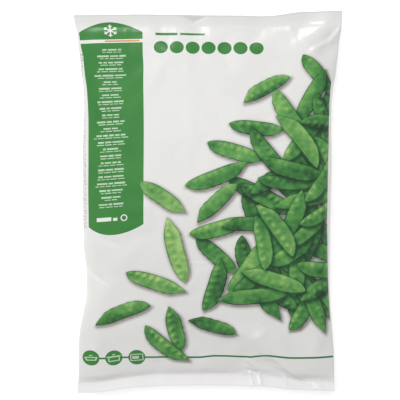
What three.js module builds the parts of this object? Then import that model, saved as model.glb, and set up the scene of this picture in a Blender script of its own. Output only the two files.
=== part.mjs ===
// A frozen vegetable bag: a pillow pack of printed plastic film, filled, shut and lying on its back.
//
// The film was a flat tube, sealed across at both ends. Filling draws the sides in at the middle and
// leaves four flat corners. The bag is opaque, so film and contents are one closed solid.
// Millimetres. X runs across the bag, +Y to its top end, +Z up through the printed front.
// The origin is on the table, under the middle of the bag.
import * as THREE from "three";

// The bag's driving sizes.
const FLAT_WIDTH = 300;
const THICKNESS = 68;
const SEAL_BAND = 13;
const SEAL_THICKNESS = 1.2;

// Where the film's outline runs, seen from above: [how far up the bag, how far across].
const LEFT_SIDE = [
  [-212, -147], [-192, -145], [-142, -144], [-118, -140], [-92, -135.5],
  [-42, -139], [58, -140], [129, -139], [150, -142], [190, -146.5], [208, -150],
];
const RIGHT_SIDE = [
  [-211, 140], [-172, 140], [-145, 138], [-111, 135.5], [42, 137],
  [122, 138.5], [136, 141.5], [169, 144.5], [196, 148.5], [213, 150],
];
// Where the two cut ends run: [how far across, how far up the bag].
const TOP_END = [[-150, 208.5], [-60, 209.5], [20, 208.5], [75, 208.6], [98, 211.8], [122, 212.9], [150, 213]];
const BOTTOM_END = [
  [-150, -213], [-118, -212], [-96, -208.5], [-55, -205.5], [40, -205.5],
  [75, -207], [102, -209.5], [150, -211],
];
// How far the seal's inner line bows inwards over the outer edge's own bow.
const SEAL_BOW = 4;

// Heights. The sides are widest a little under half way up, because the contents sag.
const SIDE_HEIGHT = 29;
const SEAL_HEIGHT = 24;
const FIN_DROOP = 8;
const UNDERSIDE_SAG = 8;
// Rises from a seal: how far in each is complete, and how steeply it sets off.
const TOP_RISE = { reach: 200, power: 1.8 };
const BOTTOM_RISE = { reach: 190, power: 1.7 };
const UNDERSIDE_RISE = { reach: 80, power: 2 };
const SIDE_RISE = { reach: 95, power: 2 };
// The cross-section: how square it is, and how blunt its sides are at the middle and at the seals.
const SQUARENESS = 2.5;
const SIDE_BLUNTNESS = 0.5;
const CORNER_BLUNTNESS = 0.85;

// Folds in the front film: [from x, from y, to x, to y, half width, height]. A hollow has a height below 0.
const FOLDS = [
  // Top right corner: a broad facet that runs in from the corner, with a hollow on each side.
  [146, 206, 96, 158, 7, 3.4],
  [128, 207, 88, 180, 7, -3],
  [147, 186, 112, 148, 8, -2.6],
  // Top end: a pinch at the seal, left of the middle.
  [-18, 206, -4, 180, 5, -2.4],
  // Bottom end: one long slanting fold, a short one that meets it, and the hollow between them.
  [52, -148, 104, -198, 6, 4],
  [64, -166, 116, -200, 7, -3.2],
  [36, -176, 58, -196, 5, 2.6],
  [22, -190, 44, -178, 6, -2.2],
  // Left side: a dent with a low rise under it.
  [-134, -54, -108, -96, 9, -3],
  [-136, -92, -110, -100, 6, 2],
  [-124, -42, -102, -48, 7, 1.6],
  // Bottom left corner and right side.
  [-146, -196, -108, -152, 8, -2.2],
  [136, -150, 112, -120, 7, -1.8],
];
// How a fold sets in and runs out, as shares of its length.
const FOLD_START = [-0.12, 0.2];
const FOLD_FINISH = [0.65, 1.15];

// The pods inside show through the film as low, long lumps. They stay clear of the sides and ends, and
// their heights vary.
const LUMP_COUNT = 90;
const LUMP_HALF_LENGTH = 26;
const LUMP_HALF_WIDTH = 9;
const LUMP_HEIGHT = 1.5;
const LUMP_SHARES = { lowest: 0.5, spread: 0.7 };
const LUMP_FIELD = { width: 258, length: 350 };
const LUMP_SEED = 41;
const GENERATOR_FACTOR = 16807;
const GENERATOR_RANGE = 2147483647;

// The long back seam is folded flat, and its edge is a shallow step along the underside.
const BACK_SEAM_X = 18;
const BACK_SEAM_STEP = 0.9;
const BACK_SEAM_STEP_HALF_WIDTH = 3;

// How finely the film is divided, across and along, and how much the rows crowd towards the ends.
const COLUMNS = 40;
const ROWS = 54;
const ROW_CROWDING = 0.45;

const FILM_WHITE = "#e6e5e2";

const { clamp, lerp, smoothstep } = THREE.MathUtils;

function curveThrough(points) {
  const places = new Float32Array(points.map((point) => point[0]));
  const values = new Float32Array(points.map((point) => point[1]));
  const curve = new THREE.CubicInterpolant(places, values, 1);
  const first = places[0];
  const last = places[places.length - 1];
  return (place) => curve.evaluate(clamp(place, first, last))[0];
}

const leftSide = curveThrough(LEFT_SIDE);
const rightSide = curveThrough(RIGHT_SIDE);
const topEnd = curveThrough(TOP_END);
const bottomEnd = curveThrough(BOTTOM_END);

// A small repeatable generator, so that the lumps lie the same way each time.
function drawsFrom(seed) {
  let state = seed;
  return () => {
    state = (state * GENERATOR_FACTOR) % GENERATOR_RANGE;
    return state / GENERATOR_RANGE;
  };
}

function makeLumps() {
  const draw = drawsFrom(LUMP_SEED);
  const lumps = [];
  for (let i = 0; i < LUMP_COUNT; i++) {
    const angle = draw() * Math.PI;
    lumps.push({
      x: (draw() - 0.5) * LUMP_FIELD.width,
      y: (draw() - 0.5) * LUMP_FIELD.length,
      along: new THREE.Vector2(Math.cos(angle), Math.sin(angle)),
      height: LUMP_HEIGHT * (LUMP_SHARES.lowest + draw() * LUMP_SHARES.spread),
    });
  }
  return lumps;
}

const lumps = makeLumps();

function lumpsAt(x, y) {
  let height = 0;
  for (const lump of lumps) {
    const dx = x - lump.x;
    const dy = y - lump.y;
    const along = (dx * lump.along.x + dy * lump.along.y) / LUMP_HALF_LENGTH;
    const across = (dy * lump.along.x - dx * lump.along.y) / LUMP_HALF_WIDTH;
    height = Math.max(height, lump.height * Math.exp(-(along ** 4) - across ** 2));
  }
  return height;
}

function foldsAt(x, y) {
  let height = 0;
  for (const [x0, y0, x1, y1, halfWidth, foldHeight] of FOLDS) {
    const length = Math.hypot(x1 - x0, y1 - y0);
    const along = ((x - x0) * (x1 - x0) + (y - y0) * (y1 - y0)) / length ** 2;
    const across = ((y - y0) * (x1 - x0) - (x - x0) * (y1 - y0)) / length;
    const taper = smoothstep(along, ...FOLD_START) * (1 - smoothstep(along, ...FOLD_FINISH));
    height += foldHeight * taper * Math.exp(-((across / halfWidth) ** 2));
  }
  return height;
}

// How far a rise has got at a distance in from the seal line: 0 at the seal and 1 where it is complete.
function risen(inward, rise) {
  return 1 - (1 - clamp(inward / rise.reach, 0, 1)) ** rise.power;
}

// A point of the film. across and along run from -1 to 1, and front is true on the printed side.
function filmPoint(across, along, front) {
  const flatX = (across * FLAT_WIDTH) / 2;
  const yTop = topEnd(flatX);
  const yBottom = bottomEnd(flatX);
  const y = lerp(yBottom, yTop, (along + 1) / 2);
  const x = Math.abs(across) * (across < 0 ? leftSide(y) : rightSide(y));

  const seal = SEAL_BAND + SEAL_BOW * (1 - across ** 2);
  const fromTop = yTop - y - seal;
  const fromBottom = y - yBottom - seal;
  const inward = Math.min(fromTop, fromBottom);
  const fin = clamp(-inward / SEAL_BAND, 0, 1);

  const sideRise = risen(inward, SIDE_RISE);
  const side = lerp(SEAL_HEIGHT - FIN_DROOP * fin, SIDE_HEIGHT, sideRise);
  const bluntness = lerp(CORNER_BLUNTNESS, SIDE_BLUNTNESS, sideRise);
  const section = Math.max(0, 1 - Math.abs(across) ** SQUARENESS) ** bluntness;
  const offSides = Math.sqrt(section);

  let z;
  if (front) {
    const climb = risen(fromTop, TOP_RISE) * risen(fromBottom, BOTTOM_RISE);
    const crown = lerp(SEAL_HEIGHT - FIN_DROOP * fin, THICKNESS, climb);
    const relief = foldsAt(x, y) + lumpsAt(x, y) * sideRise;
    z = side + Math.max(crown - side, 0) * section + relief * offSides + SEAL_THICKNESS / 2;
  } else {
    const underside = risen(inward, UNDERSIDE_RISE);
    z = side - (SIDE_HEIGHT + UNDERSIDE_SAG) * underside * section - SEAL_THICKNESS / 2;
    z += foldsAt(x, y) * (1 - underside) * offSides;
    const fromSeam = (x - BACK_SEAM_X) / BACK_SEAM_STEP_HALF_WIDTH;
    const seamStep = BACK_SEAM_STEP * Math.exp(-(fromSeam ** 2));
    z = Math.max(z, seamStep);
  }
  return new THREE.Vector3(x, y, z);
}

// The film starts as a flat box of two sheets, and each of its points is moved to its place on the filled bag.
function makeBag() {
  const geometry = new THREE.BoxGeometry(2, 2, 2, COLUMNS, ROWS, 1);
  const places = geometry.getAttribute("position");
  for (let i = 0; i < places.count; i++) {
    // Columns crowd towards the sides, and rows towards the ends, where the film turns most.
    const across = Math.sin((places.getX(i) * Math.PI) / 2);
    const rowPlace = places.getY(i);
    const along = lerp(rowPlace, Math.sin((rowPlace * Math.PI) / 2), ROW_CROWDING);
    const point = filmPoint(across, along, places.getZ(i) > 0);
    places.setXYZ(i, point.x, point.y, point.z);
  }
  geometry.computeVertexNormals();
  const film = new THREE.MeshStandardMaterial({ color: FILM_WHITE, roughness: 0.35, metalness: 0 });
  const bag = new THREE.Mesh(geometry, film);
  bag.name = "film_bag";
  return bag;
}

const pack = new THREE.Group();
pack.add(makeBag());

export default pack;
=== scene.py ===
# %% [markdown]
# # A frozen vegetable bag
#
# The real thing is a pillow pack: one tube of white printed film, sealed across both ends, filled with
# frozen pods and laid on its back. This lesson makes it the way a packing line does. A flat tube is
# built, filled by a cloth simulation, fitted to the size that was settled beforehand, creased, and
# printed. Lengths on the film are in millimetres. Blender's own lengths are in metres.

import math
import random

import bpy
import numpy as np
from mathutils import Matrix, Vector
from mathutils.bvhtree import BVHTree
from mathutils.geometry import delaunay_2d_cdt


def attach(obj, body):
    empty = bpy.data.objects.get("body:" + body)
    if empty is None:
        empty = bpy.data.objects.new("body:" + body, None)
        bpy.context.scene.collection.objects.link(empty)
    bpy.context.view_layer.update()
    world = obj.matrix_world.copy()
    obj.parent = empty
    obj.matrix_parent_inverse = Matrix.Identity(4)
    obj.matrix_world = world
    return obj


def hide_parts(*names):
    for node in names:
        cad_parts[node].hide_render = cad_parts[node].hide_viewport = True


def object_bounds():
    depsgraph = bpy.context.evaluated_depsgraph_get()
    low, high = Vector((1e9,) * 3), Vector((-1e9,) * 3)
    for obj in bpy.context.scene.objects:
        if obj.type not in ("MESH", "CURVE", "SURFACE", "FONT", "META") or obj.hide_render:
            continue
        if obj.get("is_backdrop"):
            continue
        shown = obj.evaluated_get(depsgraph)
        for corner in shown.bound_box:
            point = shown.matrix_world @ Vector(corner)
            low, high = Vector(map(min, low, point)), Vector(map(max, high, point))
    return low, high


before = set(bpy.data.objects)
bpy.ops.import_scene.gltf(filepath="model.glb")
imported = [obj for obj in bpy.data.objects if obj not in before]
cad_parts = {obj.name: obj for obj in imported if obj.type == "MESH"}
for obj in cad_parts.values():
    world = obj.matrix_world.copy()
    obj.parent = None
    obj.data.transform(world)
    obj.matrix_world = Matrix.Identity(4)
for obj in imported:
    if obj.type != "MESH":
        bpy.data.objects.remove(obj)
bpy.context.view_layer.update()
MM = 0.001

# %% [markdown]
# ## The camera
#
# The bag lies on a table and is seen from straight above, so the camera needs no turning: a new camera
# already looks down. A long lens from far off keeps the tall middle of the bag from growing too large
# against its flat ends. How far off follows from the lens and from the width that the picture spans.

# %% Look straight down
LENS = 120.0
SENSOR = 36.0
PICTURE_WIDTH = 0.446
PICTURE_LEVEL = 0.026
AIM = (-0.0095, 0.0022)

camera_height = PICTURE_LEVEL + PICTURE_WIDTH * LENS / SENSOR
bpy.ops.object.camera_add(location=(*AIM, camera_height), rotation=(0, 0, 0))
camera = bpy.context.object
camera.name = "overhead_camera"
camera.data.lens = LENS
camera.data.sensor_width = SENSOR
bpy.context.scene.camera = camera
print("the camera hangs", round(camera_height, 3), "m above the table")

# %% [markdown]
# ## Table and light
#
# A pack shot is lit by large soft lamps over a pale table. The world gives even light from all round.
# The key lamp hangs over the bag's top end, so the film that slopes down to the bottom seal falls into
# shade. It is kept out of reflections, as a photographer does with a polarising filter, or the print
# would lie under a pale veil. A tall, narrow lamp stands low beyond the top end and serves reflections
# alone: sharp facets turned to it glint, and the rest of the film stays as it is.

# %% Table, world and lamps
TABLE_SIZE = 12
TABLE_WHITE = (0.95, 0.95, 0.95, 1)
TABLE_ROUGHNESS = 0.9
TABLE_GLOW = 0.32
WORLD_STRENGTH = 0.47
PURE_WHITE = (1, 1, 1, 1)
KEY_PLACE, KEY_SIZE, KEY_WATTS = (-0.65, 0.85, 2.15), 2.2, 43
GLINT_PLACE, GLINT_WIDTH, GLINT_HEIGHT, GLINT_WATTS = (-0.55, 1.88, 0.59), 0.6, 1.2, 22


def add_lamp(name, place, size, watts):
    """A square lamp that faces the bag."""
    bpy.ops.object.light_add(type="AREA", location=place)
    lamp = bpy.context.object
    lamp.name = name
    lamp.data.size = size
    lamp.data.energy = watts
    lamp.rotation_euler = (-Vector(place)).to_track_quat("-Z", "Y").to_euler()
    return lamp


bpy.ops.mesh.primitive_plane_add(size=TABLE_SIZE)
table = bpy.context.object
table.name = "table"
table_white = bpy.data.materials.new("table_white")
table_white.use_nodes = True
table_sockets = table_white.node_tree.nodes["Principled BSDF"].inputs
table_sockets["Base Color"].default_value = TABLE_WHITE
table_sockets["Roughness"].default_value = TABLE_ROUGHNESS
table_sockets["Emission Color"].default_value = PURE_WHITE
table_sockets["Emission Strength"].default_value = TABLE_GLOW
table.data.materials.append(table_white)
table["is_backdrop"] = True

world = bpy.data.worlds.new("pale_room")
world.use_nodes = True
world_sockets = world.node_tree.nodes["Background"].inputs
world_sockets["Color"].default_value = PURE_WHITE
world_sockets["Strength"].default_value = WORLD_STRENGTH
bpy.context.scene.world = world
bpy.context.scene.view_settings.view_transform = "Standard"

key_lamp = add_lamp("key_lamp", KEY_PLACE, KEY_SIZE, KEY_WATTS)
key_lamp.visible_glossy = False
glint_lamp = add_lamp("glint_lamp", GLINT_PLACE, GLINT_WIDTH, GLINT_WATTS)
glint_lamp.data.shape = "RECTANGLE"
glint_lamp.data.size_y = GLINT_HEIGHT
glint_lamp.visible_diffuse = False
print("key lamp:", KEY_WATTS, "W from", KEY_PLACE, "glint lamp:", GLINT_WATTS, "W from", GLINT_PLACE)

# %% [markdown]
# ## The film, flat
#
# Before it is filled the bag is two sheets of film that meet along both sides and both ends. It is
# modelled so: a grid for the front, a copy of it turned over for the back, and the rims merged. The
# bands at the ends stay a single sheet, because there the two are welded together. Cloth behaves best
# at a few metres across, so the tube is made ten times too large until it is filled.

# %% Build the flat tube
FLAT_WIDTH = 300.0
FLAT_LENGTH = 450.0
COLUMNS = 60
ROWS = 100
WELDED_ROWS = 3
LIFT = 30.0
START_DOME = 13.0
DOME_REACH = 60.0
MERGE_WITHIN = 0.1
# A millimetre of film in the simulation, in metres.
SIM = 0.01

column_step = FLAT_WIDTH / COLUMNS
row_step = FLAT_LENGTH / ROWS
weld_line = FLAT_LENGTH / 2 - WELDED_ROWS * row_step


def read_points(mesh):
    points = np.zeros(len(mesh.vertices) * 3, np.float32)
    mesh.vertices.foreach_get("co", points)
    return points.reshape(-1, 3).astype(float)


def write_points(mesh, points):
    mesh.vertices.foreach_set("co", np.asarray(points, np.float32).ravel())
    mesh.update()


bpy.ops.object.select_all(action="DESELECT")
bpy.ops.mesh.primitive_grid_add(x_subdivisions=COLUMNS, y_subdivisions=ROWS, size=1)
tube = bpy.context.object
tube.name = "flat_tube"
bpy.ops.object.mode_set(mode="EDIT")
bpy.ops.transform.resize(value=(FLAT_WIDTH * SIM, FLAT_LENGTH * SIM, 1))
bpy.ops.mesh.duplicate()
bpy.ops.mesh.flip_normals()
bpy.ops.object.mode_set(mode="OBJECT")

points = read_points(tube.data) / SIM
half = len(points) // 2
side = np.where(np.arange(len(points)) < half, 1.0, -1.0)
flat = tube.data.attributes.new("flat", "FLOAT_VECTOR", "POINT")
flat.data.foreach_set("vector", np.column_stack([points[:, :2], side]).astype(np.float32).ravel())

inward = np.minimum(FLAT_WIDTH / 2 - abs(points[:, 0]), weld_line - abs(points[:, 1]))
dome = START_DOME * np.sqrt(np.clip(inward / DOME_REACH, 0, 1))
points[:, 2] = LIFT + side * dome
write_points(tube.data, points * SIM)

bpy.ops.object.mode_set(mode="EDIT")
bpy.ops.mesh.select_all(action="SELECT")
bpy.ops.mesh.remove_doubles(threshold=MERGE_WITHIN * SIM)
bpy.ops.object.mode_set(mode="OBJECT")
print("flat tube:", len(tube.data.vertices), "points,", len(tube.data.polygons), "faces")

# %% [markdown]
# ## Filling the bag
#
# The contents could be simulated too, but what shows is only the film's shape: drawn in at the middle
# of the sides, wide and flat at the corners, with wrinkles that run in from the seals. Pressure inside
# the cloth gives all of that by itself. It is told the volume to reach, 5.2 litres, near what 2.5 kg
# of loose pods fill. High stretch stiffness keeps the film from growing, and the bending stiffness sets
# how coarse the wrinkles are.

# %% Simulate
FRAMES = 40
# At ten times the size, a litre fills a cubic metre.
FILL_LITRES = 5.2
FILM_CLOTH = {
    "quality": 6, "mass": 0.05, "air_damping": 1,
    "tension_stiffness": 120, "compression_stiffness": 120, "shear_stiffness": 60, "bending_stiffness": 5,
    "tension_damping": 1, "compression_damping": 1, "shear_damping": 1, "bending_damping": 0.5,
    "use_pressure": True, "uniform_pressure_force": 0, "use_pressure_volume": True,
    "target_volume": FILL_LITRES, "pressure_factor": 6, "vertex_group_pressure": "pocket",
}
REST_GAP, REST_FRICTION = 0.02, 5
CLOTH_GAP = 0.015
# How far off its row a point may lie and still count as the weld's, in rows.
ROW_SLACK = 0.1

flat_place = np.zeros(len(tube.data.vertices) * 3, np.float32)
tube.data.attributes["flat"].data.foreach_get("vector", flat_place)
flat_place = flat_place.reshape(-1, 3)
welded = abs(flat_place[:, 1]) > weld_line - ROW_SLACK * row_step
pocket = tube.vertex_groups.new(name="pocket")
pocket.add([int(i) for i in np.flatnonzero(~welded)], 1.0, "REPLACE")

bpy.ops.object.select_all(action="DESELECT")
bpy.ops.mesh.primitive_plane_add(size=TABLE_SIZE)
rest_plane = bpy.context.object
bpy.ops.object.modifier_add(type="COLLISION")
rest_plane.collision.thickness_outer = REST_GAP
rest_plane.collision.cloth_friction = REST_FRICTION

bpy.context.view_layer.objects.active = tube
bpy.ops.object.modifier_add(type="CLOTH")
cloth = tube.modifiers["Cloth"]
for setting, value in FILM_CLOTH.items():
    setattr(cloth.settings, setting, value)
cloth.collision_settings.collision_quality = 2
cloth.collision_settings.distance_min = CLOTH_GAP
cloth.point_cache.frame_start = 1
cloth.point_cache.frame_end = FRAMES
for number in range(1, FRAMES + 1):
    bpy.context.scene.frame_set(number)
bpy.ops.object.modifier_apply(modifier="Cloth")
filled = read_points(tube.data) / SIM
filled[:, 2] -= filled[:, 2].min()
print("filled film, in mm:", filled.min(0).round(1), filled.max(0).round(1))

# %% [markdown]
# ## From cloth to a smooth surface
#
# The simulated net is coarse, and a glossy film shows every facet. So the net becomes the control net
# of a smooth spline surface. The two sheets are read as one closed ring of columns, front from left to
# right and then back from right to left, so that the film rolls round the sides without a break.

# %% Read the net as rings
RING = 2 * COLUMNS

column = np.rint((flat_place[:, 0] + FLAT_WIDTH / 2) / column_step).astype(int)
row = np.rint((flat_place[:, 1] + FLAT_LENGTH / 2) / row_step).astype(int)
shared = welded | (column == 0) | (column == COLUMNS)
on_front = (flat_place[:, 2] > 0) | shared
on_back = (flat_place[:, 2] < 0) | shared
net = np.zeros((ROWS + 1, RING, 3))
net[row[on_front], column[on_front]] = filled[on_front]
net[row[on_back], (RING - column[on_back]) % RING] = filled[on_back]

bpy.data.objects.remove(rest_plane)
bpy.data.objects.remove(tube)


def spline_weights(share):
    """The four weights of a uniform cubic B-spline."""
    rest = 1 - share
    return (
        rest**3 / 6,
        (3 * share**3 - 6 * share**2 + 4) / 6,
        (3 * rest**3 - 6 * rest**2 + 4) / 6,
        share**3 / 6,
    )


def on_net(net, ring_place, row_place):
    """Points of the smooth film. Places are counted in columns round the ring, and in rows."""
    rows = np.vstack([2 * net[:1] - net[1:2], net, 2 * net[-1:] - net[-2:-1]])
    k0 = np.floor(ring_place).astype(int)
    j0 = np.clip(np.floor(row_place).astype(int), 0, ROWS - 1)
    across = spline_weights((ring_place - k0)[:, None])
    along = spline_weights((row_place - j0)[:, None])
    total = 0
    for dj in range(4):
        for dk in range(4):
            total = total + along[dj] * across[dk] * rows[j0 + dj, (k0 + dk - 1) % RING]
    return total


def smooth(low, high, value):
    """0 at low, 1 at high, and an even curve between them."""
    share = np.clip((value - low) / (high - low), 0, 1)
    return share * share * (3 - 2 * share)


print("ring net:", net.shape)

# %% [markdown]
# ## The bag's true form
#
# The simulation gives believable wrinkles, but not this bag's own size and shape. Those are settled in
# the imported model, a plain closed solid. It is sliced across at every row of the film. Film bends but
# doesn't stretch, so the columns are set out along each slice by their true distance from the front's
# middle, and the back takes up what little is left over. Near the welds the fold is held on the
# model's own edge.

# %% Slice the model
SLICE_POINTS = 90
STATION_STEP = 8.0
STATION_REACH = 6.0
SIDE_STATIONS = 204.0
END_STATIONS = 144.0
FOLD_HELD = 60.0
ROW_LINES = (-90.0, 0.0, 90.0)
ROW_LINE_POINTS = 200
RAY_START = 500
BODY_ROWS = ROWS + 1 - 2 * WELDED_ROWS

weld_width = FLAT_LENGTH / 2 - weld_line
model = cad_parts["film_bag"].data
model_points = read_points(model) / MM
solid = BVHTree.FromPolygons(model_points.tolist(), [tuple(face.vertices) for face in model.polygons])


def reach_curve(axis, sign, limit):
    """How far the model reaches along an axis, as a function of the place on the other axis."""
    places = np.arange(-limit, limit + 1, STATION_STEP)
    values = []
    for place in places:
        near = abs(model_points[:, 1 - axis] - place) < STATION_REACH
        values.append(sign * (sign * model_points[near, axis]).max())
    return lambda at: np.interp(at, places, values)


right_side = reach_curve(0, 1, SIDE_STATIONS)
left_side = reach_curve(0, -1, SIDE_STATIONS)
top_end = reach_curve(1, 1, END_STATIONS)
bottom_end = reach_curve(1, -1, END_STATIONS)


def height_at(x, y, from_above):
    """The model's height at a place, met from above or from below, or None beside it."""
    side = 1 if from_above else -1
    hit = solid.ray_cast(Vector((x, y, side * RAY_START)), Vector((0, 0, -side)))
    return None if hit[0] is None else hit[0].z


def half_slice(y, side):
    """One half of the slice at y: from the front's middle round the side to the back's middle."""
    reach = abs(float(right_side(y) if side > 0 else left_side(y)))
    across = side * reach * np.sin(np.linspace(0, math.pi / 2, SLICE_POINTS))
    above = [(x, height_at(x, y, True)) for x in across]
    below = [(x, height_at(x, y, False)) for x in across]
    above = [point for point in above if point[1] is not None]
    below = [point for point in below if point[1] is not None]
    edge = (side * reach, (above[-1][1] + below[-1][1]) / 2)
    return np.array([*above, edge, *below[::-1]]), len(above)


def lengths_along(curve):
    return np.concatenate([[0], np.cumsum(np.linalg.norm(np.diff(curve, axis=0), axis=1))])


def columns_on(y, side, from_weld):
    """Where the columns of one half lie: true to length on the front, and evenly shared over the rest."""
    curve, edge = half_slice(y, side)
    lengths = lengths_along(curve)
    to_fold = lengths[edge] + (FLAT_WIDTH / 2 - lengths[edge]) * smooth(0, FOLD_HELD, from_weld)
    at = np.concatenate([np.linspace(0, to_fold, COLUMNS // 2 + 1),
                         np.linspace(to_fold, lengths[-1], COLUMNS // 2 + 1)[1:]])
    return np.column_stack([np.interp(at, lengths, curve[:, i]) for i in range(2)]), lengths[-1]


def row_shares():
    """How far up between the welds each row of the film lies, by length over the model's front."""
    y = np.linspace(float(bottom_end(0)) + weld_width, float(top_end(0)) - weld_width, ROW_LINE_POINTS)
    even = np.linspace(0, 1, BODY_ROWS)
    shares = 0
    for x in ROW_LINES:
        lengths = lengths_along(np.array([(at, height_at(x, at, True)) for at in y]))
        shares = shares + np.interp(even, lengths / lengths[-1], np.linspace(0, 1, len(y))) / len(ROW_LINES)
    return shares


form = np.zeros((BODY_ROWS, RING, 3))
girths = []
for j, share in enumerate(row_shares()):
    y_middle = float((bottom_end(0) + weld_width) * (1 - share) + (top_end(0) - weld_width) * share)
    from_weld = min(top_end(0) - weld_width - y_middle, y_middle - bottom_end(0) - weld_width)
    right, right_length = columns_on(y_middle, 1, from_weld)
    left, left_length = columns_on(y_middle, -1, from_weld)
    form[j, COLUMNS // 2 : COLUMNS // 2 + COLUMNS + 1, [0, 2]] = right.T
    form[j, COLUMNS // 2 - np.arange(COLUMNS + 1), [[0], [2]]] = left.T
    x = form[j, :, 0]
    form[j, :, 1] = (bottom_end(x) + weld_width) * (1 - share) + (top_end(x) - weld_width) * share
    girths.append(right_length + left_length)
print("the model's form, in mm:", form.min((0, 1)).round(1), form.max((0, 1)).round(1))
print("girth from end to end:", [round(girth) for girth in girths[:: BODY_ROWS // 8]])

# %% [markdown]
# ## Wrinkles from the cloth on the form of the model
#
# Now the two are put together. What varies slowly is taken from the model, and what varies quickly, the
# wrinkles, from the simulated cloth. An average over a few centimetres of film tells one from the other.
# An average also flattens what is round, so what it took off once is put back.

# %% Blend form and wrinkles
AVERAGE_OVER = 5.0
FORM_SMOOTHING = 2.4
EDGE_SMOOTHING = 1.0
WRINKLES = np.array([0.15, 0.15, 0.5])
CALM_FOLD = 30.0
WELD_CURL = 1.5
# Where each of these sets in and where it is complete, in mm: the strong smoothing of the form in from
# a fold and from a weld, and the fit of the rows to the model's sides, out from the middle.
SMOOTH_FROM_FOLD, SMOOTH_FROM_WELD = (10, 45), (0, 60)
FIT_WELD, FIT_BODY = (0, 120), (50, 120)
FIT_PASSES = 2


def averaged(values, spread):
    """Values on the body's net, averaged over some columns and rows round each point."""
    pad = int(3 * spread)
    below = 2 * values[:1] - values[pad:0:-1]
    above = 2 * values[-1:] - values[-2 : -pad - 2 : -1]
    padded = np.vstack([below, values, above])
    kernel = np.exp(-0.5 * (np.arange(-pad, pad + 1) / spread) ** 2)
    kernel /= kernel.sum()
    rows = sum(weight * padded[i : i + len(values)] for i, weight in enumerate(kernel))
    return sum(weight * np.roll(rows, pad - i, axis=1) for i, weight in enumerate(kernel))


def slow_part(values, spread):
    once = averaged(values, spread)
    return 2 * once - averaged(once, spread)


fold_far = np.minimum(np.arange(RING) % COLUMNS, COLUMNS - np.arange(RING) % COLUMNS) * column_step
weld_far = np.minimum(np.arange(BODY_ROWS), np.arange(BODY_ROWS)[::-1]) * row_step
across_share, along_share = smooth(*SMOOTH_FROM_FOLD, fold_far), smooth(*SMOOTH_FROM_WELD, weld_far)
inner = across_share[None, :, None] * along_share[:, None, None]
cloth_body = net[WELDED_ROWS : ROWS + 1 - WELDED_ROWS]
wrinkles = cloth_body - slow_part(cloth_body, AVERAGE_OVER)
wrinkles = wrinkles * smooth(0, CALM_FOLD, fold_far)[None, :, None]
near_folds = slow_part(form, EDGE_SMOOTHING)
body = near_folds + (slow_part(form, FORM_SMOOTHING) - near_folds) * inner + wrinkles * WRINKLES
body[..., 2] = np.maximum(body[..., 2], 0)


def with_welds(body):
    """The net with rows added on both ends for the welded bands, where the two sheets lie together."""
    opposite = (RING - np.arange(RING)) % RING
    bands = []
    for row, sign in ((body[0], -1), (body[-1], 1)):
        row[:] = (row + row[opposite]) / 2
        band = []
        for outwards in range(1, WELDED_ROWS + 1):
            added = row.copy()
            added[:, 1] += sign * row_step * outwards
            old = np.where(added[:, 0] < 0, left_side(row[:, 1]), right_side(row[:, 1]))
            new = np.where(added[:, 0] < 0, left_side(added[:, 1]), right_side(added[:, 1]))
            added[:, 0] *= 1 + (new / old - 1) * smooth(*FIT_WELD, abs(added[:, 0]))
            added[:, 2] += WELD_CURL * (outwards / WELDED_ROWS) ** 2
            band.append(added)
        bands.append(band)
    return np.array([*bands[0][::-1], *body, *bands[1]])


# The spline cuts corners, so each row is drawn out sideways until its curve reaches the model's sides.
ring_places = np.arange(0, RING, 0.5)
for _ in range(FIT_PASSES):
    net = with_welds(body)
    for j in range(BODY_ROWS):
        row_curve = on_net(net, ring_places, np.full(len(ring_places), float(j + WELDED_ROWS)))
        y = row_curve[:, 1].mean()
        x = body[j, :, 0]
        wanted = np.where(x > 0, right_side(y) / row_curve[:, 0].max(), left_side(y) / row_curve[:, 0].min())
        body[j, :, 0] = x * (1 + (wanted - 1) * smooth(*FIT_BODY, abs(x)))
net = with_welds(body)
print("wrinkles of up to", abs(wrinkles[..., 2]).max().round(1), "mm; film net:", body.min((0, 1)).round(1),
      body.max((0, 1)).round(1))

# %% [markdown]
# ## Creases, dents and lumps
#
# A simulation gives likely wrinkles, not the ones of this bag. The creases that catch the eye are added
# as relief on the film. Stiff film folds in flat facets, so a crease is a tent with a sharp top: two
# straight flanks, often one steep and one shallow. A dent is a flat facet pressed in between two lines.
# Short puckers run in from both welds by a seeded rule, and the pods inside press on the film as long,
# low lumps.

# %% Relief of the film
# From x, from y, to x, to y, width on the left, width on the right, height. Left and right are as seen
# from above when walking the crease. All in mm.
CREASES = [
    (103, 182, 137, 202, 12, 12, 2.7),
    (112, 166, 137, 180, 4.5, 10, 2.3),
    (134, 177, 150, 197, 4, 8, 2.6),
    (90, 196, 100, 172, 8, 6, 0.8),
    (-29, 210, -19, 199, 3, 5, -1.1),
    (-19, 199, -3, 208, 5, 3, -0.9),
    (52, -146, 68, -172, 14, 9, 3.2),
    (66, -169, 106, -200, 13, 7, 3.8),
    (67, -175, 80, -183, 3, 3, -0.9),
    (79, -186, 106, -201, 2.5, 2.5, -1.6),
    (42, -174, 57, -188, 5, 4, 1.7),
    (43, -186, 55, -191, 2.5, 2.5, -1.3),
    (46, -189, 50, -207, 1.8, 1.6, 1.2),
    (56, -190, 59, -206, 3.5, 2, 1.3),
    (83, -192, 88, -205, 3, 3, 1.2),
    (111, -201, 117, -211, 3, 2, 1.0),
    (122, -199, 128, -210, 3, 2, 1.0),
    (-119, -39, -97, -47, 6, 6, -0.9),
    (-30, -66, 15, -66, 1.5, 3, 0.3),
]
TOP_ROUND, FOOT_ROUND = 0.012, 0.006
# How a crease sets in and runs out, as shares of its length.
CREASE_START, CREASE_FINISH = (-0.15, 0.2), (0.7, 1.15)
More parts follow.
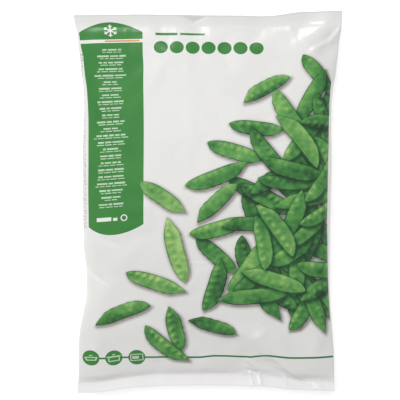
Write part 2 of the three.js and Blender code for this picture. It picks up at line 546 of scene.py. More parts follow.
# The left dent: its ridge and its valley, each from and to, the slopes down from the one and up to the
# other, how round its valley and its rim are, and where it sets in, downwards and outwards.
DENT_RIDGE = ((-129, -44), (-106.5, -95))
DENT_VALLEY = ((-138, -79), (-106, -95))
DENT_SLOPES = (0.22, 0.5)
DENT_DEPTH = 4.5
DENT_VALLEY_ROUND, DENT_RIM_ROUND, DENT_RIM_SINK = 0.05, 0.02, 0.03
DENT_DOWN, DENT_OUT = (-34, -58), (-90, -100)
PUCKERS = 28
PUCKER_PLACES, PUCKER_STARTS = (-140, 140), (190, 200)
PUCKER_LENGTHS, PUCKER_LEANS, PUCKER_WIDTHS, PUCKER_HEIGHTS = (8, 24), (-0.5, 0.5), (2.5, 6), (-0.35, 0.4)
# How a pucker's right flank compares with its left one, and how high it is at the top end.
PUCKER_FLANKS, PUCKER_TOP_SHARE = (0.6, 1.6), 0.4
LUMPS = 90
LUMP_LENGTH, LUMP_WIDTH, LUMP_HEIGHT = 26.0, 9.0, 1.0
LUMP_SHARES, LUMP_FIELD = (0.5, 1.2), (128, 176)


def along_and_across(x, y, start, end):
    """Places measured along a line, as a share of its length, and across it, in mm to its left."""
    (x0, y0), (x1, y1) = start, end
    length = math.hypot(x1 - x0, y1 - y0)
    along = ((x - x0) * (x1 - x0) + (y - y0) * (y1 - y0)) / length**2
    return along, ((y - y0) * (x1 - x0) - (x - x0) * (y1 - y0)) / length


def tent(across, left_width, right_width):
    """A crease's height across it: two straight flanks, and a top and feet that are slightly round."""
    share = across / np.where(across > 0, left_width, right_width)
    peak = 1 - np.sqrt(share**2 + TOP_ROUND)
    return 0.5 * (peak + np.sqrt(peak**2 + FOOT_ROUND)) - 0.25 * FOOT_ROUND / (1 + abs(share))


pucker_rule = random.Random(9)
puckers = []
for number in range(PUCKERS):
    end = 1 if number % 2 else -1
    x = pucker_rule.uniform(*PUCKER_PLACES)
    y = end * pucker_rule.uniform(*PUCKER_STARTS)
    length = pucker_rule.uniform(*PUCKER_LENGTHS)
    lean = pucker_rule.uniform(*PUCKER_LEANS)
    width = pucker_rule.uniform(*PUCKER_WIDTHS)
    right_width = width * pucker_rule.uniform(*PUCKER_FLANKS)
    height = pucker_rule.uniform(*PUCKER_HEIGHTS) * (PUCKER_TOP_SHARE if end > 0 else 1)
    puckers.append((x, y, x + lean * length, y - end * length, width, right_width, height))


def creases_at(x, y):
    """The height that all creases and puckers and the dent add to the film at places seen from above."""
    height = np.zeros_like(x)
    for x0, y0, x1, y1, left_width, right_width, crease_height in CREASES + puckers:
        along, across = along_and_across(x, y, (x0, y0), (x1, y1))
        taper = smooth(*CREASE_START, along) * (1 - smooth(*CREASE_FINISH, along))
        height += crease_height * taper * tent(across, left_width, right_width)
    from_ridge = -along_and_across(x, y, *DENT_RIDGE)[1] * DENT_SLOPES[0]
    from_valley = along_and_across(x, y, *DENT_VALLEY)[1] * DENT_SLOPES[1]
    apart = from_ridge - from_valley
    nearer = 0.5 * (from_ridge + from_valley - np.sqrt(apart**2 + DENT_VALLEY_ROUND))
    depth = np.clip(0.5 * (nearer + np.sqrt(nearer**2 + DENT_RIM_ROUND)) - DENT_RIM_SINK, 0, DENT_DEPTH)
    return height - depth * smooth(*DENT_DOWN, y) * smooth(*DENT_OUT, x)


lump_rule = random.Random(41)
lumps = [
    (lump_rule.uniform(-LUMP_FIELD[0], LUMP_FIELD[0]), lump_rule.uniform(-LUMP_FIELD[1], LUMP_FIELD[1]),
     lump_rule.uniform(0, math.pi), LUMP_HEIGHT * lump_rule.uniform(*LUMP_SHARES))
    for _ in range(LUMPS)
]


def lumps_at(x, y):
    """The height of the pods' lumps. Where two meet, the higher one shows."""
    height = np.zeros_like(x)
    for lump_x, lump_y, angle, lump_height in lumps:
        along = ((x - lump_x) * math.cos(angle) + (y - lump_y) * math.sin(angle)) / LUMP_LENGTH
        across = ((y - lump_y) * math.cos(angle) - (x - lump_x) * math.sin(angle)) / LUMP_WIDTH
        height = np.maximum(height, lump_height * np.exp(-(along**4) - across**2))
    return height


print(len(CREASES), "creases,", len(puckers), "puckers and", len(lumps), "lumps")

# %% [markdown]
# ## One function for the whole film
#
# Everything so far comes together in one function, which says where a place on the flat film lies on the
# filled bag. A place is given as s, its distance round the tube from the left fold, and v, its distance
# up from the middle. The first 300 mm of s are the front, and the rest is the back. In the welded bands
# the two sheets lie on each other, a film's thickness apart.

# %% The film's place in space
WELD_THICKNESS = 0.9
WELD_BLEND = 6.0
# How far in from a fold, a weld or the cut end each of these is complete, in mm.
CREASE_IN, LUMP_IN, CUT_IN, FOLD_IN = 6, 40, 1.2, 1.5
BACK_CREASE_REACH = 10.0
GIRTH = 2 * FLAT_WIDTH


def fold_distance(s):
    """How far a place lies from the nearer side fold."""
    return np.minimum(s % FLAT_WIDTH, FLAT_WIDTH - s % FLAT_WIDTH)


def film_points(s, v):
    """Where places on the film lie on the filled bag."""
    s = s % GIRTH
    made = on_net(net, s / column_step, (v + FLAT_LENGTH / 2) / row_step)
    x, y = made[:, 0].copy(), made[:, 1].copy()
    front = s < FLAT_WIDTH
    from_fold = fold_distance(s)
    from_weld = weld_line - abs(v)
    creases = creases_at(x, y) * smooth(0, CREASE_IN, from_fold)
    lumps = lumps_at(x, y) * smooth(0, LUMP_IN, from_weld) * smooth(0, LUMP_IN, from_fold)
    made[:, 2] += np.where(front, creases + lumps, creases * smooth(BACK_CREASE_REACH, 0, from_weld))

    at_cut = smooth(0, CUT_IN, FLAT_LENGTH / 2 - abs(v))
    in_weld = smooth(WELD_BLEND, 0, from_weld)
    apart = WELD_THICKNESS / 2 * smooth(0, FOLD_IN, from_fold) * at_cut * in_weld
    made[:, 2] += np.where(front, apart, -apart)
    return made


def film_normals(s, v, step=0.3):
    """The film's normals, from its slope a short step to each side."""
    v = np.clip(v, -FLAT_LENGTH / 2 + step, FLAT_LENGTH / 2 - step)
    across = film_points(s + step, v) - film_points(s - step, v)
    along = film_points(s, v + step) - film_points(s, v - step)
    normals = np.cross(across, along)
    return normals / np.maximum(np.linalg.norm(normals, axis=1, keepdims=True), 1e-9)


spots = np.array([[0.0, 0], [0, 100], [0, 160], [0, weld_line], [0, FLAT_LENGTH / 2]])
for (u, v), place in zip(spots, film_points(spots[:, 0] + FLAT_WIDTH / 2, spots[:, 1])):
    print("film place", u, v, "lies at", place.round(1))

# %% [markdown]
# ## Planning the print
#
# A bag like this is printed flat, before it is filled, so its print is laid out flat too: a list of
# shapes, each an outline with an ink, the later ones printed over the earlier. Numbers are mm on the
# front sheet, u to the right and v up from its middle. Nothing is written on it: bars stand where a
# real pack has its lines of small print.

# %% Shapes and inks
# The pale patches on the bottom weld are painted glints; the grey band at the top cut and the seam's edge
# lines are painted shade.
INKS = ["film_white", "weld_white", "painted_glint_white", "painted_edge_shade", "panel_green", "white_ink", "small_print",
        "accent_orange", "pod_green", "line_green", "speck_and_seam_shade_grey"]
OUTLINE_STEP = 2.4
HALF_U, HALF_V = FLAT_WIDTH / 2, FLAT_LENGTH / 2

shapes = []


def dense(corners, step=OUTLINE_STEP):
    """An outline with points no further apart than the step."""
    made = []
    for start, end in zip(corners, corners[1:] + corners[:1]):
        parts = max(1, math.ceil(math.dist(start, end) / step))
        for part in range(parts):
            share = part / parts
            made.append((start[0] + (end[0] - start[0]) * share, start[1] + (end[1] - start[1]) * share))
    return np.array(made)


def print_shape(ink, corners, step=OUTLINE_STEP):
    """Adds a shape to the print, over the ones before it."""
    shapes.append({"ink": INKS.index(ink), "outline": dense(corners, step), "pod": None})


def print_bar(ink, u, v, width, height, turn=0.0):
    """A bar with its middle at u, v."""
    cos, sin = math.cos(turn), math.sin(turn)
    corners = [(-1, -1), (1, -1), (1, 1), (-1, 1)]
    halves = [(a * width / 2, b * height / 2) for a, b in corners]
    print_shape(ink, [(u + a * cos - b * sin, v + a * sin + b * cos) for a, b in halves])


def print_disc(ink, u, v, radius, parts=28):
    angles = [2 * math.pi * part / parts for part in range(parts)]
    print_shape(ink, [(u + radius * math.cos(angle), v + radius * math.sin(angle)) for angle in angles])


def print_ring(ink, inner_ink, u, v, radius, thickness, parts=28):
    print_disc(ink, u, v, radius, parts)
    print_disc(inner_ink, u, v, radius - thickness, parts)


print(len(INKS), "inks, and outlines with a point every", OUTLINE_STEP, "mm")

# %% [markdown]
# ## Welds, painted glints and painted edge shade
#
# No print reaches the bottom weld. Its two sheets are melted together and look a little paler, and its
# inner line runs in and out with the puckers. Pale patches painted on the puckers stand for their glints.
# Along the top cut a grey band is painted shade, as if the last sliver of film turned down out of the
# light, and where the film is pinched the band reaches further down.

# %% Welds
WELD_LINE_U = [-150, -130, -110, -90, -70, -30, 10, 32, 44, 54, 72, 82, 104, 125, 150]
WELD_LINE_V = [-214, -214, -213.5, -213.5, -211, -212, -211, -210.5, -205, -208, -208, -205, -215, -215, -215]
# Painted glints: pale patches on the weld's puckers stand for their highlights: from, to and width.
PAINTED_GLINTS = [
    (48, -208.5, 51.5, -223, 2.0), (57.5, -212, 61, -222, 4.4), (89, -210.5, 91, -213, 3),
    (95, -213, 109, -219, 1.8), (121, -216, 124, -219, 2.6), (129, -217.5, 122, -223, 2.0),
]
# How much of its half width a painted glint keeps at two of its corners, so that it looks torn.
PAINTED_GLINT_START, PAINTED_GLINT_END = 0.4, 0.6
WELD_POINTS, EDGE_POINTS = 90, 101
# The painted edge shade: how far down from the cut it reaches, and how much further at the pinch, by u.
EDGE_SHADE_WIDTH = 1.5
EDGE_SHADE_PINCH = [(-30, 0), (-19.5, 5), (-11, 3.6), (-2, 0)]

weld_u = np.linspace(-HALF_U, HALF_U, WELD_POINTS)
weld_v = np.interp(weld_u, WELD_LINE_U, WELD_LINE_V)
print_shape("weld_white", [*zip(weld_u, weld_v), (HALF_U, -HALF_V), (-HALF_U, -HALF_V)], step=4)
for u0, v0, u1, v1, width in PAINTED_GLINTS:
    along = np.array([u1 - u0, v1 - v0])
    side = np.array([-along[1], along[0]]) / np.hypot(*along) * width / 2
    start, end = np.array([u0, v0]), np.array([u1, v1])
    corners = [start - side * PAINTED_GLINT_START, end - side, end + side * PAINTED_GLINT_END, start + side]
    # Painted glint: a pale patch where a ridge of the weld would catch the light.
    print_shape("painted_glint_white", corners, step=2)
pinch_u, pinch = zip(*EDGE_SHADE_PINCH)
edge_u = np.linspace(-HALF_U, HALF_U, EDGE_POINTS)
edge_v = HALF_V - EDGE_SHADE_WIDTH - np.interp(edge_u, pinch_u, pinch)
# Painted shade: a grey band along the top cut, as if the film turned down out of the light there.
print_shape("painted_edge_shade", [*zip(edge_u, edge_v), (HALF_U, HALF_V), (-HALF_U, HALF_V)], step=4)
print("weld and turned edge:", len(shapes), "shapes")

# %% [markdown]
# ## The green panel
#
# The panel runs down the left of the front, with a shallow arc at each end and a white band with an
# orange line across it. Rows of bars stand for its many lines of small print, a strong one over a fine
# one each time, with widths by a seeded rule. A snowflake says frozen. The film is drawn in and round at
# the sides, so the panel's long edges are drawn to follow it, and they look straight on the filled bag.

# %% Panel, snowflake and rows
PANEL_V = [-28, 4, 86, 119, 142, 158, 176, 199]
PANEL_LEFT_U = [-136.5, -137, -135, -135, -136, -137.5, -140, -145]
PANEL_RIGHT_U = [-71, -71, -71, -71.5, -72, -72, -74, -75]
PANEL_BOTTOM, PANEL_ARC = -27.0, 10.5
HEADER_TOP, HEADER_ARC = 204.0, 12.5
BAND_V, BAND_HEIGHT = 192.5, 4.4
# The orange line: its middle, length and height.
ORANGE_U, ORANGE_LENGTH, ORANGE_HEIGHT = -97.0, 38.0, 2.0
ROW_TOP, ROW_BOTTOM, ROW_COUNT = 181.5, -2.0, 24
ROW_MIDDLE = -108.0
STRONG_WIDTHS, STRONG_HEIGHT, STRONG_WORD = (13, 31), 1.9, 13
FINE_DROP, FINE_SHARES, FINE_HEIGHT, FINE_WORD = 3.0, (0.9, 1.3), 1.0, 9
SHORTEST_WORD, WORD_GAP = 3.2, 1.3
WORD_HEIGHT_SHARES = (0.85, 1.15)
WEIGHT_V = -19.0
# The weight's two bars and its ring, from the rows' middle and from WEIGHT_V: u, v, and their sizes.
WEIGHT_BARS = [(-8, 0, 18, 4.4), (5.6, -0.6, 5, 3.4)]
WEIGHT_RING = (15.5, 0.4, 3.9, 1.3)
# The snowflake's middle, its arms and its twigs. A twig's length, and its place on the arm, are shares of
# the arm's length.
FLAKE_U, FLAKE_V = -110.0, 206.0
ARM_LENGTH, ARM_WIDTH = 7.8, 1.5
TWIG_LENGTH, TWIG_WIDTH, TWIG_PLACE, TWIG_ANGLE = 0.34, 1.2, 0.6, 50
SPECK_LENGTHS, SPECK_WIDTHS, SPECK_GAPS = (1.0, 4.5), (0.8, 1.4), (0.8, 2.0)
SPECK_U = (-141.0, -143.6, -146.4)
SPECK_V = (178.0, -28.0)


def panel_left(v):
    return float(np.interp(v, PANEL_V, PANEL_LEFT_U))


def panel_right(v):
    return float(np.interp(v, PANEL_V, PANEL_RIGHT_U))


def panel_arc(v, sag, parts=16):
    """Points from the panel's left edge to its right one, along a parabola that sags in the middle."""
    left, right = panel_left(v), panel_right(v)
    shares = np.linspace(0, 1, parts + 1)
    return [(left + (right - left) * share, v - sag * 4 * share * (1 - share)) for share in shares]


def panel_edge(edge, low, high, parts=24):
    return [(edge(v), float(v)) for v in np.linspace(low, high, parts + 1)]


foot_arc = panel_arc(PANEL_BOTTOM, PANEL_ARC)
head_arc = panel_arc(HEADER_TOP, -HEADER_ARC)[::-1]
right_edge = panel_edge(panel_right, PANEL_BOTTOM, HEADER_TOP)
left_edge = panel_edge(panel_left, PANEL_BOTTOM, HEADER_TOP)[::-1]
print_shape("panel_green", foot_arc + right_edge[1:] + head_arc[1:] + left_edge[1:-1])
band_low, band_high = BAND_V - BAND_HEIGHT / 2, BAND_V + BAND_HEIGHT / 2
print_shape("white_ink", panel_arc(band_low, 0) + panel_arc(band_high, 0)[::-1])
print_bar("accent_orange", ORANGE_U, BAND_V, ORANGE_LENGTH, ORANGE_HEIGHT)


def print_stroke(u, v, angle, length, width):
    """A white bar that sets out from u, v. Gives the place where a twig leaves it."""
    cos, sin = math.cos(angle), math.sin(angle)
    print_bar("white_ink", u + cos * length / 2, v + sin * length / 2, length, width, angle)
    return u + cos * length * TWIG_PLACE, v + sin * length * TWIG_PLACE


for arm in range(6):
    angle = math.radians(60 * arm + 90)
    twig_place = print_stroke(FLAKE_U, FLAKE_V, angle, ARM_LENGTH, ARM_WIDTH)
    for turn in (-1, 1):
        twig_angle = angle + turn * math.radians(TWIG_ANGLE)
        print_stroke(*twig_place, twig_angle, ARM_LENGTH * TWIG_LENGTH, TWIG_WIDTH)

row_rule = random.Random(7)


def print_row(v, width, height, longest):
    """A row of short bars with gaps, centred in the panel, as a line of small print looks from afar."""
    words = []
    while sum(words) + WORD_GAP * len(words) < width:
        words.append(row_rule.uniform(SHORTEST_WORD, longest))
    u = ROW_MIDDLE - (sum(words) + WORD_GAP * (len(words) - 1)) / 2
    for word in words:
        print_bar("small_print", u + word / 2, v, word, height * row_rule.uniform(*WORD_HEIGHT_SHARES))
        u += word + WORD_GAP


for v in np.linspace(ROW_TOP, ROW_BOTTOM, ROW_COUNT):
    strong = row_rule.uniform(*STRONG_WIDTHS)
    print_row(v, strong, STRONG_HEIGHT, STRONG_WORD)
    print_row(v - FINE_DROP, strong * row_rule.uniform(*FINE_SHARES), FINE_HEIGHT, FINE_WORD)
for u, v, width, height in WEIGHT_BARS:
    print_bar("white_ink", ROW_MIDDLE + u, WEIGHT_V + v, width, height)
ring_u, ring_v, radius, thickness = WEIGHT_RING
print_ring("white_ink", "panel_green", ROW_MIDDLE + ring_u, WEIGHT_V + ring_v, radius, thickness, 20)

speck_rule = random.Random(5)
for u in SPECK_U:
    v = SPECK_V[0]
    while v > SPECK_V[1]:
        speck = speck_rule.uniform(*SPECK_LENGTHS)
        print_bar("speck_and_seam_shade_grey", u, v - speck / 2, speck_rule.uniform(*SPECK_WIDTHS), speck)
        v -= speck + speck_rule.uniform(*SPECK_GAPS)
print("panel with", ROW_COUNT, "rows:", len(shapes), "shapes so far")

# %% [markdown]
# ## Title place, discs and line
#
# Where a real pack has its title stand seven round peas in a row, with two short bars over them. At the
# foot three discs carry simple white pictures of a pan, a pot and an oven, strung on a thin line that
# runs on to the right edge.

# %% Peas, discs and pictures
PEA_COUNT, PEA_V, PEA_RADIUS, PEA_SPACING, PEA_LEFT = 7, 184.0, 8.0, 18.0, -62.0
# The bars over the peas: middle, width and height.
TITLE_BARS = [(-48, 201.5, 25, 3.2), (-18.5, 201.5, 28, 2.6)]
PAN, POT, OVEN = (-131.0, -182.5), (-106.0, -185.0), (-81.0, -187.5)
DISC_RADIUS = 9.5
# The pictures' bars: ink, place from the disc's middle, width and height.
PAN_KNOB = [("small_print", 0, 3.0, 4.0, 1.2)]
POT_BARS = [("small_print", 0, -1.4, 12.6, 6.0), ("panel_green", 0, -1.2, 10.2, 3.8),
            ("small_print", 0, 1.9, 16.0, 1.2), ("small_print", 0, 4.2, 3.2, 1.2)]
OVEN_BARS = [("small_print", 0, 0, 14.6, 8.8), ("panel_green", 0, 0, 12.4, 6.6),
             ("small_print", -1.4, 0, 7.4, 3.4)]
# The pan's body, outside and inside: half its width, its rim's and its foot's place, and how much
# narrower the foot is.
PAN_BODIES = [("small_print", 7.6, 1.2, -3.4), ("panel_green", 5.56, 0.0, -2.2)]
PAN_FOOT = 0.72
LINE_HALF, LINE_POINTS = 1.1, 40
LINE_U = [-131, -106, -81, -60, -10, 5, 19, 48, 68, 94, 149.5]
LINE_V = [-182.5, -185, -187.5, -189, -190.5, -188, -188, -189, -185, -186, -183]

for number in range(PEA_COUNT):
    print_disc("panel_green", PEA_LEFT + PEA_RADIUS + number * PEA_SPACING, PEA_V, PEA_RADIUS)
for title_bar in TITLE_BARS:
    print_bar("panel_green", *title_bar)

wave_u = np.linspace(LINE_U[0], LINE_U[-1], LINE_POINTS)
wave_v = np.interp(wave_u, LINE_U, LINE_V)
lower, upper = list(zip(wave_u, wave_v - LINE_HALF)), list(zip(wave_u, wave_v + LINE_HALF))
print_shape("line_green", lower + upper[::-1], step=8)
for u, v in (PAN, POT, OVEN):
    print_disc("panel_green", u, v, DISC_RADIUS)
for ink, half, rim, foot in PAN_BODIES:
    corners = [(-half, rim), (-half * PAN_FOOT, foot), (half * PAN_FOOT, foot), (half, rim)]
    print_shape(ink, [(PAN[0] + u, PAN[1] + v) for u, v in corners], step=1.5)
for (disc_u, disc_v), bars in ((PAN, PAN_KNOB), (POT, POT_BARS), (OVEN, OVEN_BARS)):
    for ink, u, v, width, height in bars:
        print_bar(ink, disc_u + u, disc_v + v, width, height)
print("print without pods:", len(shapes), "shapes")

# %% [markdown]
# ## Printed pods
#
# The pods are drawn as simple shapes: long, a little bent, straighter along the seam than along the
# belly, and drawn out to a tip at one end. Each has coordinates of its own, along and across, which the
# ink reads later to shade it and to set a row of peas in it. Some are listed one by one; the rest fill a
# heap at the right edge, scattered by a seeded rule.

# %% Pod shapes
PRINT_RIGHT = 136.5
# The pod's outline: two powers that say how full its ends are. Its tip: from where to where it is drawn
# in, as shares of the half length, and by how much.
POD_FULL = (3.3, 0.72)
POD_TIP = (0.45, 1.0, 0.40)
BELLY = 0.36
PEA_SPACE, FEWEST_PEAS = 8.5, 5
EDGE_BUMP = 0.035
LIGHT = np.array([-0.55, 0.83])
SHADOW_SHIFT = np.array([1.5, -2.0])
SHADOW_BLUR = 5.2
SHADOW_RINGS = (0.9, 2.0, 3.2, 4.6)

pods = []


def pod_half(t):
    """Half the pod's width at a place along it, as a share of its greatest. One end is drawn to a tip."""
    full = np.maximum(1 - abs(t) ** POD_FULL[0], 0) ** POD_FULL[1]
    return full * (1 - POD_TIP[2] * smooth(POD_TIP[0], POD_TIP[1], t))


class Pod:
    """A printed pod. Its tone, about 0 to 1, says how light it is, and plump how strongly its peas show."""

    def __init__(self, u, v, angle, length, width, bend, tone, plump):
        self.middle = np.array([u, v])
        turn = math.radians(angle)
        self.axis = np.array([math.cos(turn), math.sin(turn)])
        self.normal = np.array([-self.axis[1], self.axis[0]])
        self.half_length = length / 2
        self.half_width = width / 2
        self.bend = bend
        self.tone = tone
        self.plump = plump
        self.peas = max(FEWEST_PEAS, round(length / PEA_SPACE))
        self.light = (float(self.axis @ LIGHT), float(self.normal @ LIGHT), 0.0)

    def own_places(self, places):
        """Along and across the pod, as shares of its half length and half width."""
        off = places - self.middle
        return off @ self.axis / self.half_length, off @ self.normal / self.half_width

    def centre(self, t):
        """The pod's middle line, bent, and swung out towards the belly."""
        return self.bend * (1 - t * t) - BELLY * pod_half(t)

    def outline(self, grow=0.0, parts=42):
        """Points round the pod, grown outwards by some mm. The belly's edge bulges over each pea."""
        t = -np.cos(np.linspace(0, math.pi, parts + 1))
        width = pod_half(t) + grow / self.half_width
        along = t * (self.half_length + grow)
        bulge = 1 - EDGE_BUMP * np.cos(math.pi * self.peas * (t + 1))
        upper = np.column_stack([along, (self.centre(t) + width) * self.half_width])
        lower = np.column_stack([along, (self.centre(t) - width * bulge) * self.half_width])[::-1]
        ring = np.vstack([lower, upper[1:-1]]) if grow == 0 else np.vstack([lower, upper])
        outline = self.middle + ring[:, :1] * self.axis + ring[:, 1:] * self.normal
        outline[:, 0] = np.minimum(outline[:, 0], PRINT_RIGHT)
        return outline

    def shade_at(self, places):
        """How dark the pod's soft shadow is at places on the print, from 0 to 1."""
        t, b = self.own_places(places - SHADOW_SHIFT)
        t_in = np.clip(t, -1, 1)
        outside_across = np.maximum(abs(b - self.centre(t_in)) - pod_half(t_in), 0) * self.half_width
        outside_along = np.maximum(abs(t) - 1, 0) * self.half_length
        return (1 - np.minimum(np.hypot(outside_across, outside_along) / SHADOW_BLUR, 1)) ** 2


# Pods listed one by one: u, v, angle, length, width, bend and tone.
PLACED = [
    (64, 131, 211, 60, 17, -0.1, 0.5), (53, 87, -6, 62, 17, 0.15, 0.35), (30, 58, -17, 66, 18.5, 0.2, 0.5),
    (8, 31, 23, 74, 18.5, -0.1, 0.45), (-50, 4, -36, 60, 17.5, 0.3, 0.85), (9, -4, 226, 62, 17, 0.15, 0.5),
    (-36, -58, 104, 78, 19, 0.4, 1.0), (-58, -95, -21, 70, 17.5, 0.2, 0.7),
    (-94, -133, 197, 63, 17.5, -0.1, 0.45), (-38, -154, 102, 58, 17.5, 0.25, 0.55),
    (-46, -171, -44, 66, 17, -0.3, 0.4), (4, -151, 163, 55, 16, 0.15, 0.2), (10, -64, -44, 64, 18, 0.2, 0.35),
    (3, -99, 74, 66, 19, -0.2, 0.15), (10, -29, 18, 66, 18, -0.1, 0.65), (121, 148, -56, 58, 17, 0.3, 0.45),
    (112, 122, 62, 72, 18.5, 0.15, 0.3), (91, 104, -58, 66, 18.5, -0.2, 0.7),
    (130, 92, -72, 70, 18, 0.2, 0.2), (104, 74, 50, 72, 18, 0.2, 0.45), (70, 56, -52, 74, 18.5, -0.25, 0.35),
    (40, -75, 58, 74, 19, -0.2, 0.7), (102, -127, 62, 56, 17, 0.1, 0.35), (116, -119, -70, 74, 18, 0.3, 0.3),
    (60, -109, -58, 72, 18.5, 0.25, 0.3),
]
HEAP_EDGE_V = [-160, -140, -112, -70, -40, 0, 40, 75, 100, 125, 160]
HEAP_EDGE_U = [100, 52, 30, 22, 30, 40, 62, 84, 104, 120, 132]
HEAP_STEP = 19.5
HEAP_FOOT, HEAP_TOP, HEAP_LEFT, HEAP_RIGHT = -112, 130, 14, 150
HEAP_SCATTER, HEAP_INSIDE = 6, 10
HEAP_LENGTHS, HEAP_WIDTHS, HEAP_BENDS, HEAP_PLUMP = (58, 78), (16.5, 20), (-0.3, 0.4), (0.1, 0.9)
# A heap pod's tone: by chance, and lighter towards the top of the heap.
HEAP_TONES, HEAP_TOP_TONE = (-0.1, 0.3), 0.45
PLACED_PLUMP = (0.1, 1)
# A pod of which less than this would show at the print's right edge is left out.
NARROWEST = 3

heap_rule = random.Random(12)
heap = []
for v in np.arange(HEAP_FOOT, HEAP_TOP, HEAP_STEP):
    for u in np.arange(HEAP_LEFT, HEAP_RIGHT, HEAP_STEP):
        place = [at + heap_rule.uniform(-HEAP_SCATTER, HEAP_SCATTER) for at in (u, v)]
        if place[0] > np.interp(place[1], HEAP_EDGE_V, HEAP_EDGE_U) + HEAP_INSIDE:
            heap.append(place)
heap_rule.shuffle(heap)
for number, (u, v) in enumerate(heap):
    height = number / len(heap)
    tone = heap_rule.uniform(*HEAP_TONES) + HEAP_TOP_TONE * height**2
    angle, length, width, bend = (
        heap_rule.uniform(*limits) for limits in ((0, 360), HEAP_LENGTHS, HEAP_WIDTHS, HEAP_BENDS))
    pods.append(Pod(u, v, angle, length, width, bend, tone, heap_rule.uniform(*HEAP_PLUMP)))
placed = [Pod(*numbers, plump=heap_rule.uniform(*PLACED_PLUMP)) for numbers in PLACED]
# The placed pods lie over three fifths of the heap and under the rest.
over = len(pods) * 3 // 5
pods[over:over] = placed
pods = [pod for pod in pods if pod.outline()[:, 0].min() < PRINT_RIGHT - NARROWEST]
for pod in pods:
    shapes.append({"ink": INKS.index("pod_green"), "outline": pod.outline(), "pod": pod})
print(len(PLACED), "placed pods and", len(pods) - len(PLACED), "more in the heap")

# %% [markdown]
# ## Cutting the print into the front sheet
#
# A colour that follows a mesh can only change where the mesh has an edge. So every outline is cut into
# the flat sheet: an even net of points and all outlines go into a constrained triangulation, which keeps
# each outline as a chain of edges. Then each triangle takes the ink of the last shape that holds its
# middle. Net points too near an outline are left out, as they would make splinters.

# %% Cut the front
FINE_STEP = 1.25
# How near an outline no net point may lie, and at which shares of an outline's edge that is looked at.
CLEAR, PROBE_SHARE = 0.8, 0.2
# How many parts each ring of points in a pod's shadow has, and how far they stay off the right edge.
RING_PARTS, RING_CLEAR = 22, 1
# The pods' shadows end at the print's right edge, which is cut in from this far down to this far up.
EDGE_REACH = 172
# Where the film is creased sharply, the net stays fine: from u, to u, from v, to v.
CREASED = [(80, 150, 150, 226), (25, 130, -226, -140), (-150, 150, 195, 226), (-150, 150, -226, -195),
           (-142, -95, -112, -36)]


def net_points(step):
    """An even net over the sheet, rows of points from left to right."""
    columns, rows = round(FLAT_WIDTH / step), round(FLAT_LENGTH / step)
    u, v = np.meshgrid(np.linspace(-0.5, 0.5, columns + 1) * FLAT_WIDTH,
                       np.linspace(-0.5, 0.5, rows + 1) * FLAT_LENGTH)
    return np.column_stack([u.ravel(), v.ravel()])


def on_rim(places):
    """Which places lie on the sheet's own edge."""
    return (abs(places[:, 0]) > HALF_U - 1e-3) | (abs(places[:, 1]) > HALF_V - 1e-3)


def too_near(places, step, outlines):
    """Marks net points that lie close to an outline."""
    columns = round(FLAT_WIDTH / step) + 1
    marked = np.zeros(len(places), bool)
    for outline in outlines:
        ends = np.roll(outline, -1, axis=0)
        for share in np.arange(0, 1, PROBE_SHARE):
            spot = outline + (ends - outline) * share
            i = np.rint((spot[:, 0] + HALF_U) / step).astype(int)
            j = np.rint((spot[:, 1] + HALF_V) / step).astype(int)
            index = np.clip(j * columns + i, 0, len(places) - 1)
            marked[index[np.linalg.norm(places[index] - spot, axis=1) < CLEAR]] = True
    return marked & ~on_rim(places)


edge_line = np.array([(PRINT_RIGHT, v) for v in np.arange(-EDGE_REACH, EDGE_REACH + 0.1, OUTLINE_STEP)])
outlines = [shape["outline"] for shape in shapes]
print("the print reaches", np.max([abs(outline).max(0) for outline in outlines], axis=0).round(1), "mm out")
loose_points = net_points(FINE_STEP)
net_u, net_v = np.rint((loose_points + [HALF_U, HALF_V]) / FINE_STEP).astype(int).T
kept = (net_u % 2 == 0) & (net_v % 2 == 0)
for u0, u1, v0, v1 in CREASED:
    kept |= (loose_points > (u0, v0)).all(1) & (loose_points < (u1, v1)).all(1) & ~on_rim(loose_points)
kept &= ~too_near(loose_points, FINE_STEP, outlines + [edge_line])
loose_points = loose_points[kept]
shadow_rings = [pod.outline(grow, RING_PARTS) + SHADOW_SHIFT for pod in pods for grow in SHADOW_RINGS]
fade_points = np.vstack(shadow_rings)
fade_points = fade_points[fade_points[:, 0] < PRINT_RIGHT - RING_CLEAR]
sheet_points = [loose_points, fade_points]
edges = []
count = len(loose_points) + len(fade_points)
for outline in outlines:
    sheet_points.append(outline)
    chain = np.arange(len(outline)) + count
    edges += list(zip(chain.tolist(), np.roll(chain, -1).tolist()))
    count += len(outline)
sheet_points.append(edge_line)
chain = np.arange(len(edge_line)) + count
edges += list(zip(chain[:-1].tolist(), chain[1:].tolist()))

cut = delaunay_2d_cdt([Vector(p) for p in np.vstack(sheet_points)], edges, [], 0, 1e-4, False)
front_flat = np.array([tuple(p) for p in cut[0]])
front_faces = np.array(cut[2])
print("front sheet:", len(front_flat), "points,", len(front_faces), "triangles")

# %% [markdown]
# ## Which ink is where
#
# The same painter's rule gives each corner of a printed pod its place along and across that pod, and how
# deep it lies in the shadows of the pods above it. Where several shadows fall together they deepen.

# %% Ink the front
SHADOW_DEPTH = 0.8
SHADOW_REACH = 9

middles = front_flat[front_faces].mean(1)
ink = np.zeros(len(front_faces), int)
owner = np.full(len(front_faces), -1)


def holds(outline, places):
    """Which places lie inside an outline, by counting the edges to their right."""
    inside = np.zeros(len(places), bool)
    for (u0, v0), (u1, v1) in zip(outline, np.roll(outline, -1, axis=0)):
        crosses = (v0 > places[:, 1]) != (v1 > places[:, 1])
        if crosses.any():
            at = u0 + (places[:, 1] - v0) / (v1 - v0 + 1e-12) * (u1 - u0)
            inside ^= crosses & (places[:, 0] < at)
    return inside


for shape in shapes:
    low, high = shape["outline"].min(0), shape["outline"].max(0)
    near = np.flatnonzero(((middles > low) & (middles < high)).all(1))
    found = near[holds(shape["outline"], middles[near])]
    ink[found] = shape["ink"]
    owner[found] = pods.index(shape["pod"]) if shape["pod"] else -1

